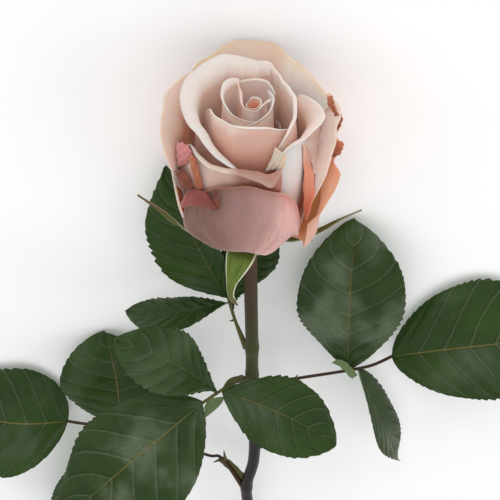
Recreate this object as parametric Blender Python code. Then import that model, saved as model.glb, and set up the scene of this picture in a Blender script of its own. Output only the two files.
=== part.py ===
"""Cut garden rose, laid down on its back: hip, petals, sepals, stem and four compound leaves.

The rose is modelled upright in millimetres, with the stem along Z and the top of the hip at
the origin, +Y being the side it later rests on. The empty "rose_axis" then lays it down.
"""
import bmesh
import bpy
import math
from mathutils import Vector

MM = 0.001

# Driving dimensions, in millimetres and degrees.
STEM_RADIUS = 2.55
STEM_END = -340.0
STEM_CUT_SLANT = 4.0
HIP_HEIGHT = 13.0
HIP_RADIUS = 7.2
BLOOM_RADIUS = 30.0
LEAN_WHEN_LYING = 4.42
TOUCH_GAP = 0.3

PETAL_THICKNESS = 0.35
PETAL_SPACING = 0.95
LEAF_THICKNESS = 0.4
SEPAL_THICKNESS = 0.6
RACHIS_RADIUS = 1.1

# The petals' claws stand in order on the cone at the top of the hip, inside petals highest.
RECEPTACLE_RADII = (2.0, 6.3)
RECEPTACLE_SLOPE = 0.8
CLAW_HALF_ANGLE = 17.0
CLAW_CLEARANCE = 0.1

# A petal opens from its claw to full width at this share of its height. Its cup swells over
# CUP_RISE, sooner in wide petals, and the inside petals lean in above LEAN_IN_FROM.
PETAL_LEVELS = (0.0, 0.05, 0.12, 0.22, 0.36, 0.54, 0.76, 1.0)
PETAL_COLUMN_ANGLE = 13.0
FULL_WIDTH_AT = 0.62
CUP_RISE = 15.0
CUP_RISE_LOSS = 5.5
LEAN_IN = 0.2
LEAN_IN_FROM = 25.0
LEAN_IN_OVER = 35.0
LEAN_IN_BELLIES = (18.0, 28.0)
WIDEST_BELLY = 60.0
SECTOR = 5

HIP_SIDES = 16
HIP_PROFILE = [
    (2.7, -HIP_HEIGHT),
    (4.6, -HIP_HEIGHT + 1.4),
    (6.3, -HIP_HEIGHT + 4),
    (6.4, -7.4),
    (6.5, -5.4),
    (HIP_RADIUS, -RECEPTACLE_SLOPE * (RECEPTACLE_RADII[1] - 2) - 0.9),
    (RECEPTACLE_RADII[1] + 0.5, -RECEPTACLE_SLOPE * (RECEPTACLE_RADII[1] - 1.5)),
    (2.0, 0.0),
]

STEM_ROUTE = [
    (0, 0, -HIP_HEIGHT - TOUCH_GAP), (0.4, 0, -40), (0.8, 0, -66), (0.9, 0, -88), (2, 0, -120),
    (1.6, 0, -145), (-1.6, 0, -166), (-0.4, 0, -190), (1.4, 0, -235), (0.6, 0, -290), (0, 0, STEM_END),
]
STEM_STEPS = 44
STEM_SIDES = 12
STEM_JOINTS = (-67, -84, -93, -166, -262)
JOINT_SWELLING = 0.35
JOINT_LENGTH = 3.2

RACHIS_SIDES = 8
RACHIS_BASE_SCALE = 1.35
RACHIS_TAPER = 0.5
LEAFLET_LEVELS = (0.0, 0.05, 0.14, 0.28, 0.44, 0.6, 0.76, 0.9, 1.0)
LEAFLET_COLUMNS = (-1, -0.6, -0.25, 0, 0.25, 0.6, 1)
LEAFLET_ARCH = 0.07
LEAFLET_FOLD = 0.16
LEAFLET_TIP_HALF_WIDTH = 0.6
SEPAL_STEPS = 9
SEPAL_TIP_HALF_WIDTH = 0.5

# Each petal's free edge from one side to the other, inside petals first:
# (angle about the stem, distance from it, height above the hip).
PETALS = [
    ("petal_heart", [(-200, 1.7, 50), (-110, 2.2, 54), (-30, 2.4, 54), (60, 2.6, 54), (130, 3, 51)]),
    ("petal_curl", [(-222, 4, 54), (-170, 3.6, 56), (-110, 4.1, 55), (-50, 4.1, 54), (-6, 4.8, 55)]),
    ("petal_inner_left", [(112, 8, 55), (155, 9, 58), (200, 8.3, 57), (240, 9.4, 56), (290, 9.8, 52)]),
    ("petal_inner_front", [(-106, 13, 52), (-72, 11, 55), (-35, 9.3, 57), (0, 7.2, 57), (32, 7, 54)]),
    ("petal_inner_back", [(15, 8.5, 54), (45, 8.6, 57), (80, 8.4, 57), (118, 9, 54)]),
    ("petal_middle_left", [(105, 11.5, 50), (145, 12, 53), (195, 12, 53), (238, 12.5, 50)]),
    ("petal_middle_right", [(-55, 13.5, 49), (-20, 11.5, 53), (30, 11, 53), (75, 11.5, 50)]),
    ("petal_cup_front", [(-162, 14.5, 52), (-135, 16, 57), (-100, 16.2, 56), (-70, 17.8, 56), (-48, 18.8, 53)]),
    ("petal_cup_right", [(-70, 20.5, 51), (-50, 19.5, 57), (-20, 15.8, 60), (10, 13.8, 60), (42, 13.3, 60),
                         (76, 15.7, 56)]),
    ("petal_cup_left", [(66, 15.7, 57), (100, 16.5, 61), (140, 20, 60), (180, 21.5, 58), (215, 22.6, 54),
                        (243, 22.6, 48), (264, 21.5, 42)]),
    ("petal_flap_right", [(-70, 21.6, 43), (-50, 22, 49), (-28, 22, 54), (-4, 17.5, 56)]),
    ("petal_fold_front", [(-147, 24, 44), (-128, 25.4, 46), (-105, 22.5, 43), (-80, 21, 41), (-54, 21.5, 38)]),
    ("petal_outer_left", [(144, 24.5, 52), (170, 27, 54), (195, 29, 49), (210, 29, 42), (219, 28, 30)]),
    ("petal_outer_back", [(144, 24.5, 50), (118, 26, 57), (90, 28.4, 58), (60, 27, 58), (30, 25.3, 56),
                          (2, 26, 50)]),
    ("petal_outer_right", [(46, 26, 44), (16, 25.5, 53), (-8, 27.6, 51), (-25, 27.6, 43), (-35, 26, 26)]),
    ("petal_guard_front", [(-144, 28, 14), (-133, 26, 32), (-112, 23, 37), (-88, 22, 38), (-68, 24, 36),
                           (-54, 26.5, 28), (-48, 26, 14)]),
    ("petal_guard_right", [(52, 28, 34), (22, 28.4, 49), (-5, 29.6, 42), (-18, 29.6, 30), (-32, 27, 14)]),
    ("petal_guard_left", [(146, 28, 34), (172, 29, 45), (200, 28, 45), (214, 29, 32), (224, 27.5, 14)]),
    ("petal_guard_back_left", [(84, 29.4, 24), (104, 29.6, 40), (132, 29.6, 43), (162, 29.4, 26)]),
    ("petal_guard_back_right", [(22, 29.2, 24), (46, 29.6, 41), (72, 29.8, 43), (98, 29.9, 26)]),
]

# Sepals as the midline from the hip outwards, and the half width at the base.
SEPALS = [
    ("sepal_left", [(-7.4, 0, -3), (-15, 0, -4), (-24, -1, 0), (-31, -4, 11), (-37.5, -8, 21.5)], 2.8),
    ("sepal_right", [(7.4, -1, -3), (15, -1, -4.5), (24, -1, -2), (31.5, -1, 3.5), (38.5, -2.5, 9.5)], 2.8),
    ("sepal_front", [(-1, -7.4, -3), (-3, -13.5, -3.5), (-5.5, -16, -12), (-6, -14.5, -21),
                     (-4.5, -11.5, -29.5)], 4.6),
    ("sepal_back_right", [(6, 4.5, -3), (13, 7, -5), (19, 8.5, -10), (23, 9, -16.5)], 3),
    ("sepal_back_left", [(-5, 5.6, -3), (-8.5, 10, -4.5), (-11, 13.5, -6), (-13, 16, -7.5)], 3),
]

# Compound leaves: the rachis from the stem outwards, then for each leaflet
# (name, place along the rachis from 0 to 1, tip, across direction, width).
LEAVES = [
    ("leaf_back", [(-3.2, 1.6, -66), (-5.5, 5, -58), (-7.6, 8.6, -52), (-8.4, 10.4, -49.5)], [
        ("terminal", 1.0, (-31.7, 24, 7.5), (1, 0.26, 0), 40),
        ("right", 0.55, (17, 15.5, -25), (0.6, -0.35, -0.7), 22),
        ("left", 0.75, (-50.5, 9, -56.5), (0, 0.94, -0.33), 26),
    ]),
    ("leaf_front", [(-2.6, -2.4, -84), (-7, -8, -79.5), (-12.2, -14, -77.5), (-18.5, -19, -78)], [
        ("terminal", 1.0, (-80, -42, -128), (0.65, -0.4, -0.6), 46),
        ("right", 0.62, (35, -26, -93), (0.3, 0.6, 0.7), 30),
        ("left", 0.7, (-47.5, -20.5, -35.5), (0.7, 0.4, 0.6), 29),
    ]),
    ("leaf_left", [(-6.3, 0.4, -164), (-12.6, 2, -146.5), (-19, 3, -145.5), (-38, 5, -137),
                   (-56, 7, -130.5), (-73, 8.5, -129.5), (-80.5, 9.5, -129)], [
        ("terminal", 1.0, (-139, 10, -134.5), (0, 0.64, 0.77), 44),
        ("upper", 0.68, (-57.3, 19.5, -81.5), (1, 0.05, 0), 40),
        ("lower", 0.72, (-91, 8, -213), (0.85, 0.1, -0.4), 30),
    ]),
    ("leaf_right", [(4.8, 1.2, -92), (19.5, 5, -93), (40, 9, -93), (51, 10, -90.5), (59, 11.5, -86.5)], [
        ("terminal", 1.0, (127, 12, -71), (0, 0.66, 0.75), 49),
        ("upper", 0.52, (39.6, 22, -20), (1, -0.1, 0), 43),
        ("lower", 0.6, (65.5, 2, -151), (0.37, 0.93, 0.03), 24),
    ]),
]


def clear_scene():
    for leftover in list(bpy.data.objects):
        bpy.data.objects.remove(leftover, do_unlink=True)


def make_material(name, colour, roughness):
    material = bpy.data.materials.new(name)
    material.use_nodes = True
    shader = material.node_tree.nodes["Principled BSDF"]
    shader.inputs["Base Color"].default_value = (*colour, 1.0)
    shader.inputs["Roughness"].default_value = roughness
    shader.inputs["Metallic"].default_value = 0.0
    return material


def make_object(name, shape, material, parent):
    """Turn a bmesh in millimetres into an object in metres under the parent."""
    bmesh.ops.recalc_face_normals(shape, faces=shape.faces)
    bmesh.ops.scale(shape, vec=(MM, MM, MM), verts=shape.verts)
    mesh = bpy.data.meshes.new(name)
    shape.to_mesh(mesh)
    shape.free()
    mesh.shade_smooth()
    mesh.set_sharp_from_angle(angle=math.radians(50))
    mesh.materials.append(material)
    piece = bpy.data.objects.new(name, mesh)
    piece.parent = parent
    bpy.context.scene.collection.objects.link(piece)
    return piece


def smooth_point(points, t):
    """Point at t (0 to 1) on a smooth curve through the given points."""
    place = share(t) * (len(points) - 1)
    i = min(int(place), len(points) - 2)
    f = place - i
    before = points[max(i - 1, 0)]
    start, end = points[i], points[i + 1]
    after = points[min(i + 2, len(points) - 1)]
    value = []
    for p0, p1, p2, p3 in zip(before, start, end, after):
        slope_in = (p2 - p0) / 2
        slope_out = (p3 - p1) / 2
        value.append((2 * f**3 - 3 * f**2 + 1) * p1 + (f**3 - 2 * f**2 + f) * slope_in
                     + (3 * f**2 - 2 * f**3) * p2 + (f**3 - f**2) * slope_out)
    return Vector(value)


def add_sheet(shape, rows, thickness):
    """Closed thin sheet: the rows of points are its middle layer."""
    count_v = len(rows)
    count_u = len(rows[0])
    layers = []
    for side in (0.5, -0.5):
        layer = []
        for v in range(count_v):
            line = []
            for u in range(count_u):
                along = rows[min(v + 1, count_v - 1)][u] - rows[max(v - 1, 0)][u]
                across = rows[v][min(u + 1, count_u - 1)] - rows[v][max(u - 1, 0)]
                normal = across.cross(along).normalized()
                line.append(shape.verts.new(rows[v][u] + normal * thickness * side))
            layer.append(line)
        layers.append(layer)
    top, bottom = layers
    for v in range(count_v - 1):
        for u in range(count_u - 1):
            shape.faces.new((top[v][u], top[v][u + 1], top[v + 1][u + 1], top[v + 1][u]))
            shape.faces.new((bottom[v][u], bottom[v + 1][u], bottom[v + 1][u + 1], bottom[v][u + 1]))
    rim = [(0, u) for u in range(count_u)]
    rim += [(v, count_u - 1) for v in range(1, count_v)]
    rim += [(count_v - 1, u) for u in range(count_u - 2, -1, -1)]
    rim += [(v, 0) for v in range(count_v - 2, 0, -1)]
    for (v0, u0), (v1, u1) in zip(rim, rim[1:] + rim[:1]):
        shape.faces.new((top[v0][u0], bottom[v0][u0], bottom[v1][u1], top[v1][u1]))


def join_rings(shape, rings):
    """Skin over the rings, in order, and cap the first and the last."""
    sides = len(rings[0])
    for low, high in zip(rings, rings[1:]):
        for s in range(sides):
            n = (s + 1) % sides
            shape.faces.new((low[s], low[n], high[n], high[s]))
    shape.faces.new(rings[0])
    shape.faces.new(rings[-1])


def add_tube(shape, points, radii, sides):
    """Closed tube through the points, with a flat cap at each end."""
    rings = []
    last = len(points) - 1
    for i, (point, radius) in enumerate(zip(points, radii)):
        along = (points[min(i + 1, last)] - points[max(i - 1, 0)]).normalized()
        across = along.cross(Vector((0.2, 1.0, 0.1))).normalized()
        other = along.cross(across)
        ring = []
        for s in range(sides):
            turn = 2 * math.pi * s / sides
            offset = across * math.cos(turn) + other * math.sin(turn)
            ring.append(shape.verts.new(point + offset * radius))
        rings.append(ring)
    join_rings(shape, rings)


def share(value):
    """The value kept between 0 and 1."""
    return min(max(value, 0.0), 1.0)


def receptacle_point(order):
    """Where a petal's claw meets the conical top of the hip: (radius, height)."""
    inner, outer = RECEPTACLE_RADII
    radius = inner + (outer - inner) * order
    return radius, TOUCH_GAP + CLAW_CLEARANCE - RECEPTACLE_SLOPE * (radius - inner)


def cup_radius(belly, order, height):
    """Distance from the stem of a cup of the given belly radius, at a height."""
    base_radius, base_height = receptacle_point(order)
    rise = CUP_RISE - CUP_RISE_LOSS * belly / BLOOM_RADIUS
    swell = 1 - math.exp(-(height - base_height) / rise)
    narrow, wide = LEAN_IN_BELLIES
    closing = LEAN_IN * share((wide - belly) / (wide - narrow))
    lean_in = 1 - closing * share((height - LEAN_IN_FROM) / LEAN_IN_OVER) ** 2
    return (base_radius + (belly - base_radius) * swell) * lean_in


def belly_for(radius, height, order):
    """Belly radius of the cup that passes through a point of a petal's edge."""
    low, high = 0.0, WIDEST_BELLY
    for _ in range(30):
        middle = (low + high) / 2
        if cup_radius(middle, order, height) < radius:
            low = middle
        else:
            high = middle
    return low


def lay_over(wanted, first, last, covered):
    """Widen a petal where it would touch those inside it, then record what it covers."""
    sectors = range(math.floor(first / SECTOR), math.ceil(last / SECTOR) + 1)
    count = len(covered)
    widest = {}
    for s in range(sectors[0] - 3, sectors[-1] + 4):
        below = max(covered[(s + n) % count] for n in range(-3, 4))
        angle = min(max(s * SECTOR, first), last)
        widest[s] = max(wanted(angle), below + PETAL_SPACING)
    radii = {}
    for s in range(sectors[0] - 1, sectors[-1] + 2):
        radii[s] = sum(widest[s + n] for n in range(-2, 3)) / 5
    for s in sectors:
        covered[s % count] = max(covered[s % count], radii[s])
    return radii


def make_petal(name, edge, order, covered, material, parent):
    edge = sorted(edge)
    first, last = edge[0][0], edge[-1][0]
    centre = (first + last) / 2
    spread = (last - first) / 2
    bellies = [(angle, belly_for(radius, height, order), height) for angle, radius, height in edge]

    def along_edge(angle, index):
        for a, b in zip(bellies, bellies[1:]):
            if angle <= b[0] or b is bellies[-1]:
                f = share((angle - a[0]) / (b[0] - a[0]))
                f = f * f * (3 - 2 * f)
                return a[index] + (b[index] - a[index]) * f

    radii = lay_over(lambda angle: along_edge(angle, 1), first, last, covered)

    def belly_at(angle):
        s = math.floor(angle / SECTOR)
        f = angle / SECTOR - s
        return radii[s] * (1 - f) + radii[s + 1] * f

    columns = max(6, round(2 * spread / PETAL_COLUMN_ANGLE))
    base_height = receptacle_point(order)[1]
    rows = []
    for level in PETAL_LEVELS:
        opening = math.sin(math.pi / 2 * share(level / FULL_WIDTH_AT)) ** 0.8
        half = CLAW_HALF_ANGLE + (spread - CLAW_HALF_ANGLE) * opening
        row = []
        for c in range(columns + 1):
            angle = centre + half * (2 * c / columns - 1)
            height = base_height + (along_edge(angle, 2) - base_height) * level
            radius = cup_radius(belly_at(angle), order, height)
            turn = math.radians(angle)
            row.append(Vector((radius * math.cos(turn), radius * math.sin(turn), height)))
        rows.append(row)
    shape = bmesh.new()
    add_sheet(shape, rows, PETAL_THICKNESS)
    return make_object(name, shape, material, parent)


def make_petals(material, parent):
    covered = [0.0] * (360 // SECTOR)
    for number, (name, edge) in enumerate(PETALS):
        order = number / (len(PETALS) - 1)
        make_petal(name, edge, order, covered, material, parent)


def make_hip(material, parent):
    """Urn below the petals: a turned profile with a conical top."""
    shape = bmesh.new()
    rings = []
    for radius, height in HIP_PROFILE:
        ring = []
        for s in range(HIP_SIDES):
            turn = 2 * math.pi * s / HIP_SIDES
            ring.append(shape.verts.new((radius * math.cos(turn), radius * math.sin(turn), height)))
        rings.append(ring)
    join_rings(shape, rings)
    return make_object("hip", shape, material, parent)


def make_stem(material, parent):
    """Slightly wavering stem, swollen at the leaf joints, cut on a slant."""
    points = []
    radii = []
    for i in range(STEM_STEPS + 1):
        point = smooth_point(STEM_ROUTE, i / STEM_STEPS)
        swelling = sum(math.exp(-((point.z - joint) / JOINT_LENGTH) ** 2) for joint in STEM_JOINTS)
        points.append(point)
        radii.append(STEM_RADIUS + JOINT_SWELLING * swelling)
    shape = bmesh.new()
    add_tube(shape, points, radii, STEM_SIDES)
    for vertex in shape.verts:
        if abs(vertex.co.z - STEM_END) < 1.0:
            vertex.co.z += STEM_CUT_SLANT * vertex.co.y / STEM_RADIUS / 2
    return make_object("stem", shape, material, parent)


def make_sepal(name, midline, half_width, material, parent):
    """Narrow pointed leaf with its middle along the given line."""
    rows = []
    for i in range(SEPAL_STEPS + 1):
        t = i / SEPAL_STEPS
        point = smooth_point(midline, t)
        along = (smooth_point(midline, t + 0.02) - smooth_point(midline, t - 0.02)).normalized()
        outward = Vector((point.x, point.y, 0)).normalized()
        across = along.cross(Vector((0, 0, 1)) + outward * 0.6).normalized()
        taper = (1 - t) ** 0.8 * (0.75 + 0.5 * math.sin(math.pi * min(t * 2, 1)))
        width = max(half_width * taper, SEPAL_TIP_HALF_WIDTH)
        rows.append([point + across * width * u for u in (-1, -0.5, 0, 0.5, 1)])
    shape = bmesh.new()
    add_sheet(shape, rows, SEPAL_THICKNESS)
    return make_object(name, shape, material, parent)


def make_rachis(name, route, material, parent):
    steps = 3 * (len(route) - 1)
    points = [smooth_point(route, i / steps) for i in range(steps + 1)]
    radii = [RACHIS_RADIUS * (RACHIS_BASE_SCALE - RACHIS_TAPER * share(i / 3)) for i in range(steps + 1)]
    shape = bmesh.new()
    add_tube(shape, points, radii, RACHIS_SIDES)
    return make_object(name, shape, material, parent)


def make_leaflet(name, start, stand_off, tip, across_hint, width, material, parent):
    """Pointed oval blade, folded a little along its midrib and arched towards the tip."""
    along = tip - start
    length = along.length
    along.normalize()
    across = Vector(across_hint)
    across = (across - along * across.dot(along)).normalized()
    upward = across.cross(along).normalized()
    if upward.dot(Vector((0, -0.7, 0.7))) < 0:
        upward = -upward
    base = start + along * stand_off
    rows = []
    for level in LEAFLET_LEVELS:
        half = max(width / 2 * math.sin(math.pi * level**0.88) ** 0.66, LEAFLET_TIP_HALF_WIDTH)
        arch = LEAFLET_ARCH * length * math.sin(math.pi * level)
        middle = base + (tip - base) * level + upward * arch
        row = []
        for u in LEAFLET_COLUMNS:
            fold = LEAFLET_FOLD * half * abs(u)
            row.append(middle + across * half * u + upward * fold)
        rows.append(row)
    shape = bmesh.new()
    add_sheet(shape, rows, LEAF_THICKNESS)
    return make_object(name, shape, material, parent)


def make_leaves(rachis_material, leaf_material, parent):
    for leaf, route, leaflets in LEAVES:
        make_rachis(leaf + "_rachis", route, rachis_material, parent)
        for place, t, tip, across, width in leaflets:
            start = smooth_point(route, t)
            tip = Vector(tip)
            stand_off = TOUCH_GAP
            if t < 1:
                run = (smooth_point(route, t + 0.02) - smooth_point(route, t - 0.02)).normalized()
                slant = run.cross((tip - start).normalized()).length
                stand_off = (RACHIS_RADIUS + TOUCH_GAP) / max(slant, 0.5)
            make_leaflet(leaf + "_" + place, start, stand_off, tip, across, width, leaf_material, parent)


def lay_down(axis):
    """Turn the rose onto its back and put the origin at the bottom centre of its box."""
    axis.rotation_euler = (-math.radians(90 - LEAN_WHEN_LYING), 0, 0)
    bpy.context.view_layer.update()
    corners = []
    for piece in axis.children:
        corners += [piece.matrix_world @ vertex.co for vertex in piece.data.vertices]
    low = Vector(min(corner[i] for corner in corners) for i in range(3))
    high = Vector(max(corner[i] for corner in corners) for i in range(3))
    axis.location = (-(low.x + high.x) / 2, -(low.y + high.y) / 2, -low.z)
    bpy.context.view_layer.update()


def main():
    clear_scene()
    petal = make_material("petal_blush", (0.82, 0.6, 0.5), 0.55)
    stem = make_material("stem_green", (0.17, 0.16, 0.06), 0.5)
    sepal = make_material("sepal_green", (0.3, 0.38, 0.16), 0.6)
    leaf = make_material("leaf_green", (0.045, 0.085, 0.03), 0.35)
    axis = bpy.data.objects.new("rose_axis", None)
    bpy.context.scene.collection.objects.link(axis)
    make_hip(sepal, axis)
    make_petals(petal, axis)
    for name, midline, half_width in SEPALS:
        make_sepal(name, midline, half_width, sepal, axis)
    make_stem(stem, axis)
    make_leaves(stem, leaf, axis)
    lay_down(axis)


main()
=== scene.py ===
"""Finish of the cut rose: fine petals, serrated leaflets, stem, sepals, materials and light.

Every piece is modelled upright in millimetres, in the same rose frame as the CAD (stem along Z,
top of the hip at the origin, +Y on the side it rests on), and is then laid down on its node.
"""
import bpy
import math
import numpy as np
from mathutils import Matrix, Vector


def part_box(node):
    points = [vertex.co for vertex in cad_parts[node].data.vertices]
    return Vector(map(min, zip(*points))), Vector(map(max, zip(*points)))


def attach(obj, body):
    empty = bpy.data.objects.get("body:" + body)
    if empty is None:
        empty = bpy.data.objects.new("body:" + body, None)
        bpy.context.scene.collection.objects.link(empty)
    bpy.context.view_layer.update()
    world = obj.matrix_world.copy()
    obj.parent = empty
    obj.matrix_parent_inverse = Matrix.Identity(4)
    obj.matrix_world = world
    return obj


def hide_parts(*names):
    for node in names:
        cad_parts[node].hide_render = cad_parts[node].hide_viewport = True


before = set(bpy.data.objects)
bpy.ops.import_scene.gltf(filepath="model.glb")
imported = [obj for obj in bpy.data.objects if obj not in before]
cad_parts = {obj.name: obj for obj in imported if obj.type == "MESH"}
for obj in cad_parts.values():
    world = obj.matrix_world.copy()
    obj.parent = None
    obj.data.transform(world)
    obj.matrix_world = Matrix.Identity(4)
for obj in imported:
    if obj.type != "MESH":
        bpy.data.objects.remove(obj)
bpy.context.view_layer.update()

MM = 0.001
LEAN_WHEN_LYING = math.radians(4.42)
STEM_RADIUS = 2.55
STEM_END = -340
HIP_HEIGHT = 13
HIP_RADIUS = 7.2
TOUCH_GAP = 0.3
RECEPTACLE_RADII = (2, 6.3)
RECEPTACLE_SLOPE = 0.8
CLAW_HALF_ANGLE = 17
RACHIS_RADIUS = 1.1

PETAL_THICKNESS = 0.24
PETAL_SPACING = 0.5
PETAL_ROWS = 30
LIP_STEPS = 14
FLAP_ROWS, FLAP_COLUMNS = 44, 18
LEAF_THICKNESS = 0.32
LEAF_ROWS, LEAF_COLUMNS = 190, 41
SEPAL_THICKNESS = 0.5
SEPAL_ROWS, SEPAL_COLUMNS = 60, 13
HIP_RINGS, HIP_SIDES = 50, 48
STEM_RINGS, STEM_SIDES = 260, 32
RACHIS_RINGS, RACHIS_SIDES = 61, 16
PRICKLE_RINGS, PRICKLE_SIDES = 12, 10

# Side veins of a leaflet: how many, and how far they sweep towards the tip on their way out, in
# steps from vein to vein: evenly, and with a hook near the margin.
SIDE_VEINS = 7
VEIN_SWEEP, VEIN_HOOK = 1.3, 0.4

# Degrees in one step round the stem, when petals are laid one over the other.
SECTOR = 2
# By kind of petal: the share of its height where it reaches its full width, how round it opens, the
# height over which it swells out from its claw, and how much more its lip turns near the end.
KINDS = {
    "heart": (0.62, 0.8, 15, 0),
    "inner": (0.62, 0.8, 14, 0.4),
    "cup": (0.62, 0.8, 12, 0.7),
    "outer": (0.55, 0.8, 8, 0),
    "fold": (0.95, 1, 8, 0),
    "guard": (0.6, 1, 4.3, 0),
    "face": (0.8, 1.25, 4.3, 0),
}

# The hip from its foot to the top of the receptacle: (radius, height).
HIP_PROFILE = [(2.7, -HIP_HEIGHT), (4.6, 1.4 - HIP_HEIGHT), (6.3, 4 - HIP_HEIGHT), (6.4, -7.4), (6.5, -5.4),
               (HIP_RADIUS, -RECEPTACLE_SLOPE * (RECEPTACLE_RADII[1] - 2) - 0.9),
               (RECEPTACLE_RADII[1] + 0.5, -RECEPTACLE_SLOPE * (RECEPTACLE_RADII[1] - 1.5)), (2, 0)]

# The stem from the hip to its cut end, and the heights of its swollen joints.
STEM_ROUTE = [(0, 0, -HIP_HEIGHT - TOUCH_GAP), (0.4, 0, -40), (0.8, 0, -66), (0.9, 0, -88), (2, 0, -120),
              (1.6, 0, -145), (-1.6, 0, -166), (-0.4, 0, -190), (1.4, 0, -235), (0.6, 0, -290),
              (0, 0, STEM_END)]
STEM_JOINTS = (-67, -84, -93, -166, -262)

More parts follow.
